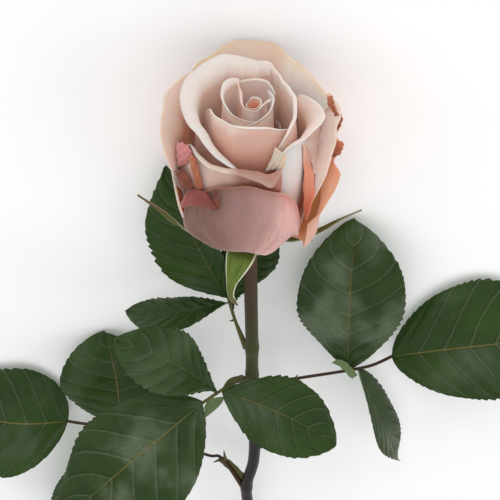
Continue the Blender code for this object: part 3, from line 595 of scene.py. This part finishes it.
def leaflet_start(route, where, tip):
    """Where a leaflet leaves its stalk: beside its axis, or just beyond its end for a terminal one."""
    start = smooth_path(route, np.array([where]))[0]
    away = unit(tip - start)
    stand_off = 0.1
    if where < 1:
        before, after = smooth_path(route, np.array([where - 0.02, where + 0.02]))
        slant = np.linalg.norm(np.cross(unit(after - before), away))
        stand_off = 0.5 * RACHIS_RADIUS / max(slant, 0.5)
    return start + away * stand_off


def make_rachis(leaf, route, material):
    """Leaf stalk, which gets thinner along its first stretch."""
    t = np.linspace(0, 1, RACHIS_RINGS)
    radii = RACHIS_RADIUS * (1.25 - 0.65 * np.minimum(t * (len(route) - 1), 1))
    points, faces, uv = tube(smooth_path(route, t), radii, RACHIS_SIDES)
    make_piece(f"leaf_{leaf}_rachis", points, faces, material, uv)


def make_leaves(leaf_with_less_painted_sheen, leaf_with_more_painted_sheen, maroon, olive):
    seed = 50
    for leaf, route, leaflets in LEAVES:
        make_rachis(leaf, route, maroon if leaf in MAROON_LEAVES else olive)
        for place, where, tip, *blade in leaflets:
            seed += 1
            tip = np.array(tip, dtype=float)
            grid, u, v = leaflet_grid(leaflet_start(route, where, tip), tip, *blade, seed)
            name = f"{leaf}_{place}"
            # Leaflets listed there get the copy with more painted sheen.
            material = leaf_with_more_painted_sheen if name in MORE_PAINTED_SHEEN_LEAFLETS else leaf_with_less_painted_sheen
            make_sheet("leaf_" + name, grid, LEAF_THICKNESS, u, v, material)


def make_stipules(materials):
    for seed, (name, leaf, look, bulge, start, end) in enumerate(STIPULES, start=20):
        grid, u, v = flap_grid(start, end, bulge, 0.5, seed)
        make_sheet(name, grid, LEAF_THICKNESS, u, v, materials[look], f"leaf_{leaf}_rachis")


def make_prickles(material):
    t = np.linspace(0, 1, PRICKLE_RINGS)
    for name, leaf, foot, point, radius in PRICKLES:
        radii = radius * np.linspace(1, 0.08, PRICKLE_RINGS)
        points, faces, uv = tube(smooth_path([foot, point], t), radii, PRICKLE_SIDES)
        make_piece(name, points, faces, material, uv, node=f"leaf_{leaf}_rachis")


# ---- stem, hip, sepals

def make_stem(material):
    """Stem that swells at its joints, with a slanted cut end."""
    route = smooth_path(STEM_ROUTE, np.linspace(0, 1, STEM_RINGS))
    swelling = sum(np.exp(-((route[:, 2] - joint) / 3.2) ** 2) for joint in STEM_JOINTS)
    points, faces, uv = tube(route, STEM_RADIUS + 0.35 * swelling, STEM_SIDES)
    cut = np.abs(points[:, 2] - STEM_END) < 0.6
    points[cut, 2] += 2 * points[cut, 1] / STEM_RADIUS
    make_piece("stem", points, faces, material, uv)


def make_hip(material):
    profile = smooth_path(HIP_PROFILE, np.linspace(0, 1, HIP_RINGS))
    turns = np.linspace(0, 2 * math.pi, HIP_SIDES, endpoint=False)
    points = np.array([(radius * math.cos(turn), radius * math.sin(turn), height)
                       for radius, height in profile for turn in turns])
    faces, uv = wall(HIP_RINGS, HIP_SIDES)
    make_piece("hip", points, faces, material, uv)


def make_sepals(front_material, dark_material):
    t = np.linspace(0, 1, SEPAL_ROWS)
    side = np.linspace(-1, 1, SEPAL_COLUMNS)
    for name, midline, half_width in SEPALS:
        middle = smooth_path(midline, t)
        along = unit(np.gradient(middle, axis=0))
        outward = unit(middle * (1, 1, 0))
        across = unit(np.cross(along, (0, 0, 1) + outward * 0.6))
        width = half_width * (1 - t) ** 0.8 * (0.75 + 0.5 * np.sin(math.pi * np.minimum(t * 2, 1)))
        width = np.maximum(width, 0.3)[:, None]
        grid = middle[:, None, :] + across[:, None, :] * (width * side)[..., None]
        material = front_material if name == "front" else dark_material
        make_sheet("sepal_" + name, grid, SEPAL_THICKNESS, (side + 1) / 2, t[:, None], material)


# ---- materials

def srgb(red, green, blue):
    """Linear opaque colour from display values of 0 to 255."""
    return (*((c / 255 / 12.92) if c / 255 < 0.04 else ((c / 255 + 0.055) / 1.055) ** 2.4
              for c in (red, green, blue)), 1)


def fade(places, *colours):
    """Stops of a colour ramp: display colours at the given places."""
    return [(place, srgb(*colour)) for place, colour in zip(places, colours)]


class Nodes:
    """Short calls for building a material's node tree."""

    def __init__(self, name):
        self.material = bpy.data.materials.new(name)
        self.material.use_nodes = True
        self.tree = self.material.node_tree
        self.shader = self.tree.nodes["Principled BSDF"]

    def new(self, kind, **settings):
        node = self.tree.nodes.new("ShaderNode" + kind)
        for key, value in settings.items():
            setattr(node, key, value)
        return node

    def link(self, source, target):
        """Feed an input from another node's output, or give it a fixed value."""
        if hasattr(source, "links"):
            self.tree.links.new(source, target)
        else:
            target.default_value = source

    def fill(self, node, inputs):
        for name, source in inputs.items():
            self.link(source, node.inputs[name])

    def surface(self, inputs):
        """The finished material, with these inputs of its shader."""
        self.fill(self.shader, inputs)
        return self.material

    def math(self, operation, a, b=None):
        node = self.new("Math", operation=operation)
        self.link(a, node.inputs[0])
        if b is not None:
            self.link(b, node.inputs[1])
        return node.outputs[0]

    def plus(self, a, b):
        return self.math("ADD", a, b)

    def minus(self, a, b):
        return self.math("SUBTRACT", a, b)

    def times(self, a, b):
        return self.math("MULTIPLY", a, b)

    def step(self, value, low, high):
        """Smooth step of value from 0 at low to 1 at high."""
        node = self.new("MapRange", interpolation_type="SMOOTHSTEP")
        self.fill(node, {"Value": value, "From Min": low, "From Max": high})
        return node.outputs["Result"]

    def mix(self, share, a, b, blend="MIX"):
        node = self.new("Mix", data_type="RGBA", blend_type=blend)
        for index, source in ((0, share), (6, a), (7, b)):
            self.link(source, node.inputs[index])
        return node.outputs[2]

    def ramp(self, value, stops):
        node = self.new("ValToRGB")
        ramp = node.color_ramp
        ramp.interpolation = "EASE"
        while len(ramp.elements) < len(stops):
            ramp.elements.new(0.5)
        for element, (place, colour) in zip(ramp.elements, stops):
            element.position = place
            element.color = (*colour[:3], 1)
        self.link(value, node.inputs[0])
        return node.outputs[0]

    def shape_uv(self):
        """Across the piece, along it, and both as one vector."""
        node = self.new("UVMap", uv_map="shape")
        split = self.new("SeparateXYZ")
        self.link(node.outputs[0], split.inputs[0])
        return split.outputs[0], split.outputs[1], node.outputs[0]

    def side(self):
        return self.new("Attribute", attribute_name="side").outputs["Fac"]

    def place(self):
        return self.new("TexCoord").outputs["Object"]

    def noise(self, vector, stretch, scale, detail=4, roughness=0.5):
        mapping = self.new("Mapping")
        self.fill(mapping, {"Vector": vector, "Scale": stretch})
        node = self.new("TexNoise")
        self.fill(node, {"Vector": mapping.outputs[0], "Scale": scale, "Detail": detail,
                         "Roughness": roughness})
        return node.outputs["Fac"]

    def bump(self, height, strength, distance, under=None):
        node = self.new("Bump")
        self.fill(node, {"Strength": strength, "Distance": distance, "Height": height})
        if under is not None:
            self.link(under, node.inputs["Normal"])
        return node.outputs[0]


EVEN = (1, 1, 1)


def petal_material(name, inner, outer, rim_colour, rim_share, blotch_colour, blotch_share, tone_and_painted_light=None):
    """Soft translucent petal: inner and outer colours from claw to rim, veins, a tinted rim, and an
    optional side-to-side multiplier of tone with painted shade and light.
    """
    n = Nodes("petal_" + name)
    u, v, uv = n.shape_uv()
    place = n.place()
    cloud = n.noise(place, EVEN, 55, 3)
    wander = n.minus(cloud, 0.5)
    drift = n.plus(v, n.times(wander, 0.16))
    colour = n.mix(n.side(), n.ramp(drift, inner), n.ramp(drift, outer))
    # Side-to-side multiplier: the petal's own tone with painted shade and painted light.
    if tone_and_painted_light:
        colour = n.mix(1, colour, n.ramp(n.plus(u, n.times(wander, 0.2)), tone_and_painted_light), "MULTIPLY")
    veins = n.noise(uv, (60, 3.2, 1), 1.6, 5, 0.6)
    red, green, blue, _ = outer[1][1]
    vein_colour = (0.8 * red, 0.8 * green, 0.8 * blue, 1)
    colour = n.mix(n.times(n.step(veins, 0.42, 0.62), 0.09), colour, vein_colour)
    patch = n.noise(place, EVEN, 90, 4, 0.6)
    rim = n.times(n.step(n.plus(v, n.times(patch, 0.04)), 0.985, 1.03), rim_share)
    colour = n.mix(n.times(rim, n.step(patch, 0.3, 0.65)), colour, srgb(*rim_colour))
    if blotch_share:
        blot = n.noise(uv, (9, 1.7, 1), 1.6, 6, 0.62)
        colour = n.mix(n.times(n.step(blot, 0.42, 0.7), blotch_share), colour, srgb(*blotch_colour))
    fine = n.bump(veins, 0.25, 0.0002)
    return n.surface({
        "Base Color": colour, "Normal": n.bump(cloud, 0.25, 0.0008, fine), "Roughness": 0.58,
        "Specular IOR Level": 0.3, "Subsurface Weight": 0.6, "Subsurface Radius": (1, 0.45, 0.3),
        "Subsurface Scale": 0.0016, "Sheen Weight": 0.25, "Sheen Roughness": 0.4})


def leaf_material(name, dark, light, painted_sheen_share):
    """Glossy dark leaf with pale midrib, side veins and net, a paler underside, and painted sheen: pale
    patches of painted highlight, with painted highlight and painted shade beside each side vein.
    """
    n = Nodes(name)
    u, v, _ = n.shape_uv()
    place = n.place()
    out = n.math("ABSOLUTE", n.minus(n.times(u, 2), 1))
    cloud = n.noise(place, EVEN, 60, 4)
    along = n.plus(v, n.times(n.minus(cloud, 0.5), 0.036))
    sweep = n.plus(n.times(out, VEIN_SWEEP), n.times(n.math("POWER", out, 3), VEIN_HOOK))
    phase = n.minus(n.times(along, SIDE_VEINS), sweep)
    wave = n.math("ABSOLUTE", n.minus(n.math("FRACT", phase), 0.5))
    side_vein = n.times(n.step(wave, 0.462, 0.5), n.step(out, 1, 0.45))
    midrib = n.step(n.plus(out, n.times(v, 0.012)), 0.024, 0.008)
    veins = n.math("MAXIMUM", side_vein, midrib)
    net = n.new("TexVoronoi", feature="DISTANCE_TO_EDGE")
    n.fill(net, {"Vector": place, "Scale": 900})
    net_line = n.step(net.outputs["Distance"], 0.12, 0.02)

    # Painted light on the blade: painted highlight on one side of each side vein, painted shade on the
    # other, and pale patches of painted sheen broken by the net.
    saw = n.math("FRACT", n.plus(phase, 0.5))
    painted_vein_highlight = n.times(n.step(saw, 0.62, 0.5), n.step(saw, 0.49, 0.51))
    painted_vein_shade = n.times(n.step(saw, 0.3, 0.49), n.step(saw, 0.51, 0.49))
    patch = n.step(n.noise(place, EVEN, 40, 3), 0.47, 0.68)
    painted_sheen = n.times(n.plus(n.times(patch, painted_sheen_share), n.times(painted_vein_highlight, 0.25)),
                    n.minus(1, n.times(net_line, 0.4)))
    colour = n.mix(cloud, dark, light)
    # Painted shade in the valley beside each side vein.
    colour = n.mix(n.times(painted_vein_shade, 0.5), colour, srgb(12, 26, 6))
    # Painted sheen: a pale grey-green painted highlight.
    colour = n.mix(painted_sheen, colour, srgb(118, 130, 108))
    colour = n.mix(n.times(net_line, 0.15), colour, srgb(66, 88, 40))
    colour = n.mix(n.times(side_vein, 0.3), colour, srgb(90, 110, 54))
    colour = n.mix(n.times(midrib, 0.75), colour, srgb(118, 106, 56))
    under = n.mix(veins, srgb(112, 134, 104), srgb(160, 170, 126))

    height = n.minus(1, n.math("MAXIMUM", n.times(side_vein, 0.8), midrib))
    vein_bump = n.bump(height, 0.6, 0.0004)
    net_bump = n.bump(n.minus(1, net_line), 0.3, 0.00012, vein_bump)
    rough = n.plus(n.times(cloud, 0.3), 0.2)
    return n.surface({"Base Color": n.mix(n.side(), under, colour), "Normal": net_bump,
                      "Roughness": rough, "Specular IOR Level": 0.2})


def stem_material():
    """Bark that goes from brown at the cut end through green and maroon back to green at the hip."""
    n = Nodes("stem_bark")
    _, v, uv = n.shape_uv()
    streak = n.noise(uv, (26, 40, 1), 1.5, 6, 0.6)
    patch = n.noise(n.place(), (1, 0.4, 1), 70, 4)
    bark = fade((0, 0.1, 0.18, 0.27, 0.33, 0.4, 0.7, 1), (84, 58, 42), (60, 50, 28), (56, 58, 24),
                (64, 72, 28), (52, 50, 24), (26, 18, 20), (32, 24, 22), (52, 54, 28))
    colour = n.ramp(n.plus(v, n.times(n.minus(patch, 0.5), 0.12)), bark)
    colour = n.mix(n.times(n.step(streak, 0.45, 0.7), 0.35), colour, srgb(36, 24, 20))
    return n.surface({"Base Color": colour, "Normal": n.bump(streak, 0.4, 0.0003),
                      "Roughness": 0.42, "Specular IOR Level": 0.22})


def green_material(name, light, dark, roughness):
    """Matt streaky green of the hip, leaf stalks and stipules."""
    n = Nodes(name)
    streak = n.noise(n.shape_uv()[2], (30, 5, 1), 1.4, 5, 0.6)
    cloud = n.noise(n.place(), EVEN, 120, 4)
    colour = n.mix(n.times(n.plus(streak, cloud), 0.5), light, dark)
    return n.surface({"Base Color": colour, "Normal": n.bump(streak, 0.3, 0.0002),
                      "Roughness": roughness, "Specular IOR Level": 0.2})


def sepal_material(name, light, dark, margin):
    """Green sepal with a downy whitish margin and a brownish tip."""
    n = Nodes(name)
    u, v, uv = n.shape_uv()
    streak = n.noise(uv, (22, 3, 1), 1.4, 5, 0.6)
    out = n.math("ABSOLUTE", n.minus(n.times(u, 2), 1))
    colour = n.mix(n.step(streak, 0.35, 0.65), light, dark)
    colour = n.mix(n.times(n.step(v, 0.5, 1), 0.7), colour, srgb(96, 66, 36))
    colour = n.mix(n.times(n.step(out, 0.86, 0.97), margin), colour, srgb(232, 232, 208))
    return n.surface({"Base Color": colour, "Normal": n.bump(streak, 0.3, 0.0002),
                      "Roughness": 0.6, "Specular IOR Level": 0.2, "Sheen Weight": 0.05})


DEEP, SALMON, BLUSH, CREAM = (250, 146, 112), (248, 172, 146), (230, 198, 188), (216, 205, 200)
BEIGE, BROWN = (212, 188, 156), (166, 112, 78)
HALVES = (0, 0.5, 1)


def make_fresh_petals():
    """Petals of the bloom by their look. Ramps run from claw to rim; side-to-side multipliers carry tone
    with painted shade and painted light.
    """
    heart = fade((0, 0.6, 0.86, 0.95, 1), DEEP, DEEP, (252, 146, 106), (252, 182, 152), CREAM)
    heart_face = fade((0, 0.6, 0.84, 0.95, 1), DEEP, (252, 176, 150), (252, 200, 180), (246, 214, 202),
                      CREAM)
    inner = fade((0, 0.5, 0.68, 0.84, 1), DEEP, (252, 164, 132), (252, 208, 190), (248, 228, 220), CREAM)
    cup = fade((0, 0.42, 0.6, 0.78, 1), DEEP, (255, 184, 158), (254, 212, 196), (244, 220, 211), CREAM)
    # Outer faces of the cup petals darken towards the claw: deeper colour together with painted shade.
    cup_face_deep_and_painted_shade = fade((0, 0.5, 0.74, 0.9, 1), DEEP, (206, 134, 110), (194, 140, 122), (206, 166, 152),
                    (226, 208, 200))
    flap_face = fade((0, 0.5, 0.74, 0.9, 1), DEEP, (240, 190, 176), (236, 208, 202), (234, 214, 210), CREAM)
    fold_face = fade((0, 0.5, 0.75, 1), DEEP, (220, 160, 146), (226, 184, 174), (232, 206, 198))
    # Painted shade across the folded petal: darker towards one end, where the underside of its lip lies in
    # shade.
    fold_painted_shade = [(0, (0.7, 0.62, 0.56)), (0.28, (0.9, 0.88, 0.85)), (0.54, (0.82, 0.76, 0.7)),
                  (0.68, (0.5, 0.36, 0.3)), (1, (0.46, 0.32, 0.26))]
    bands = (0, 0.5, 0.74, 0.88, 1)
    outer = fade(bands, DEEP, SALMON, (232, 190, 182), (216, 198, 193), (208, 195, 188))
    back = fade(bands, DEEP, SALMON, (232, 196, 184), (220, 204, 194), (212, 196, 180))
    # Pale from the claw up on the left outer petal: painted light in the recess behind it, where shade
    # falls.
    left = fade(bands, (252, 196, 176), (254, 212, 200), (238, 196, 188), (220, 202, 196), (210, 196, 188))
    outer_face = fade((0, 0.5, 0.8, 1), DEEP, (224, 158, 138), (214, 172, 160), CREAM)
    # Across the back petal: its own tone, partly painted light, with one side brightened and cooled and the
    # middle darker and warmer.
    back_tone_and_painted_light = [(0, (1.04, 1.1, 1.25)), (0.35, (1.03, 1.1, 1.22)), (0.5, (0.93, 0.83, 0.82)),
                  (0.65, (0.92, 0.86, 0.86)), (1, (0.9, 0.89, 0.9))]
    guard = fade((0, 0.4, 0.8, 1), (252, 168, 136), (254, 206, 180), (248, 200, 174), (216, 166, 138))
    guard_side = fade((0, 0.35, 0.8, 1), (206, 160, 140), (226, 168, 150), (222, 164, 142), (206, 146, 116))
    guard_face = fade((0, 0.4, 0.86, 1), (200, 160, 148), (224, 172, 164), (222, 170, 164), (196, 138, 124))
    # Across the front guard: its dried brown together with painted shade, darkest at one side and full
    # colour near the other.
    face_dried_and_painted_shade = [(0, (0.22, 0.21, 0.15)), (0.22, (0.25, 0.23, 0.19)), (0.5, (0.42, 0.4, 0.38)),
                  (0.74, (0.64, 0.62, 0.6)), (0.92, (1, 1, 1))]
    looks = {
        "heart": ("heart_salmon", heart, heart_face, CREAM, 0.6, DEEP, 0),
        "inner": ("inner_blush", inner, heart_face, CREAM, 0.5, DEEP, 0),
        "cup": ("cup_cream", cup, cup_face_deep_and_painted_shade, CREAM, 0.5, DEEP, 0),
        "flap": ("flap_pink", cup, flap_face, CREAM, 0.5, DEEP, 0),
        "folded": ("fold_shaded", cup, fold_face, CREAM, 0.3, DEEP, 0, fold_painted_shade),
        "outer": ("outer_cream", outer, outer_face, BEIGE, 0.6, BLUSH, 0.25),
        "back": ("back_beige", back, outer_face, (206, 182, 136), 0.45, BEIGE, 0.3, back_tone_and_painted_light),
        "left": ("left_pale", left, outer_face, BEIGE, 0.6, BLUSH, 0.25),
        "guard": ("guard_salmon", guard, guard_side, BROWN, 0.9, (220, 146, 112), 0.4),
        "face": ("face_dusty", guard, guard_face, BROWN, 0.8, (146, 112, 110), 0.45, face_dried_and_painted_shade),
    }
    return {look: petal_material(*finish) for look, finish in looks.items()}


def make_flap_materials():
    """Flaps by their look, each with one ramp for both of its sides."""
    looks = {
        "magenta": ("dried_magenta", fade(HALVES, (196, 118, 118), (188, 104, 102), (164, 98, 82)),
                    BROWN, 0.6, (208, 150, 146), 0.6),
        "crimson": ("dried_crimson", fade(HALVES, (142, 74, 72), (116, 58, 54), (90, 42, 32)),
                    BROWN, 0.5, (154, 92, 88), 0.5),
        "brown": ("dried_brown", fade(HALVES, (100, 52, 34), (128, 70, 48), (112, 60, 40)),
                  BROWN, 0.4, (96, 52, 34), 0.7),
        "tan": ("dried_tan", fade(HALVES, (174, 102, 74), (156, 88, 60), (140, 78, 54)),
                BROWN, 0.4, (186, 116, 86), 0.5),
        "corner": ("corner_cream", fade((0, 1), (216, 194, 176), (206, 182, 158)), BEIGE, 0.4, CREAM, 0.3),
        "pale": ("inside_pale", fade((0, 1), (228, 186, 172), (226, 184, 170)), SALMON, 0, SALMON, 0.1),
        # Orange of the crease strip: petal colour together with the painted glow of light through the
        # petals.
        "painted_glow": ("inside_orange", fade((0, 0.3, 0.8, 1), (236, 176, 156), (234, 146, 118), (226, 118, 88),
                                       (232, 138, 110)), SALMON, 0, SALMON, 0.2),
    }
    return {look: petal_material(name, ramp, ramp, *tints) for look, (name, ramp, *tints) in looks.items()}


def floor_material():
    n = Nodes("floor_paper")
    grain = n.noise(n.place(), EVEN, 40, 3)
    paper = n.mix(grain, (0.93, 0.93, 0.93, 1), (0.96, 0.96, 0.96, 1))
    return n.surface({"Base Color": paper, "Roughness": 0.9})


# ---- stage, light and camera

# Area lights: place and aim in metres from the bloom, width, height, power.
LIGHTS = [
    ("key", (-0.25, 1.15, 0.8), (0, 0, 0), 0.4, 0.4, 2.4),
    ("low", (0.1, 1.4, 0.5), (0, -0.1, 0), 2.2, 0.8, 5.8),
    ("top", (0, -0.1, 1.4), (0, -0.1, 0), 1.6, 1.6, 3),
    ("fill", (-1, 0.1, 0.8), (0, 0, 0), 1, 1, 1.4),
    ("side", (0.9, -0.2, 0.6), (0, 0, 0), 0.8, 0.8, 2),
]
WORLD_STRENGTH = 0.72
FLOOR_HALF = 6


def make_stage():
    mesh = bpy.data.meshes.new("floor")
    corners = [(FLOOR_HALF * x, FLOOR_HALF * y, 0) for x, y in ((-1, -1), (1, -1), (1, 1), (-1, 1))]
    mesh.from_pydata(corners, [], [(0, 1, 2, 3)])
    mesh.materials.append(floor_material())
    floor = add_object("floor", mesh)


def make_lights():
    world = bpy.data.worlds.new("studio")
    world.use_nodes = True
    background = world.node_tree.nodes["Background"]
    background.inputs["Color"].default_value = (1, 1, 1, 1)
    background.inputs["Strength"].default_value = WORLD_STRENGTH
    bpy.context.scene.world = world
    bloom = TO_ROOM @ Vector((0, 0, 30))
    for name, place, aim, width, height, power in LIGHTS:
        data = bpy.data.lights.new(name, "AREA")
        data.shape = "ELLIPSE"
        data.size = width
        data.size_y = height
        data.energy = power
        light = add_object(name, data)
        light.location = bloom + Vector(place)
        light.rotation_euler = (Vector(aim) - Vector(place)).to_track_quat("-Z", "Y").to_euler()


def make_camera():
    """Looks down on the rose from beyond its bloom, 45 degrees off the stem."""
    distance, raised = 390, 8.83
    right = Vector((1, 0, 0))
    up = Vector((0, 1, 1)).normalized()
    backward = Vector((0, -1, 1)).normalized()
    eye = distance * backward - raised * up
    turn = Matrix((right, up, backward)).transposed().to_4x4()
    room_turn = TO_ROOM.to_3x3().normalized().to_4x4()
    data = bpy.data.cameras.new("camera")
    data.sensor_width = 36
    data.lens = 79.488
    data.clip_start = 0.01
    camera = add_object("camera", data)
    camera.matrix_world = Matrix.Translation(TO_ROOM @ eye) @ room_turn @ turn
    bpy.context.scene.camera = camera


def main():
    make_camera()
    make_stage()
    make_lights()
    bpy.context.scene.view_settings.view_transform = "Standard"
    make_petals(make_fresh_petals())
    make_flaps(make_flap_materials())
    maroon = green_material("rachis_maroon", srgb(72, 52, 30), srgb(42, 18, 20), 0.45)
    olive = green_material("rachis_olive", srgb(92, 98, 44), srgb(72, 54, 34), 0.5)
    # Two copies of the leaf finish: one with less and one with more painted sheen.
    leaf_with_less_painted_sheen = leaf_material("leaf_less_painted_sheen", srgb(14, 34, 2), srgb(44, 70, 10), 0.15)
    leaf_with_more_painted_sheen = leaf_material("leaf_more_painted_sheen", srgb(14, 32, 4), srgb(46, 68, 14), 0.45)
    make_leaves(leaf_with_less_painted_sheen, leaf_with_more_painted_sheen, maroon, olive)
    pale = green_material("stipule_pale", srgb(112, 128, 88), srgb(88, 106, 60), 0.6)
    make_stipules({"olive": olive, "pale": pale})
    make_prickles(olive)
    make_stem(stem_material())
    make_hip(green_material("hip_green", srgb(120, 138, 76), srgb(84, 104, 50), 0.5))
    make_sepals(sepal_material("sepal_down", srgb(108, 126, 54), srgb(72, 92, 26), 0.9),
                sepal_material("sepal_dark", srgb(96, 100, 44), srgb(64, 76, 32), 0.25))


main()
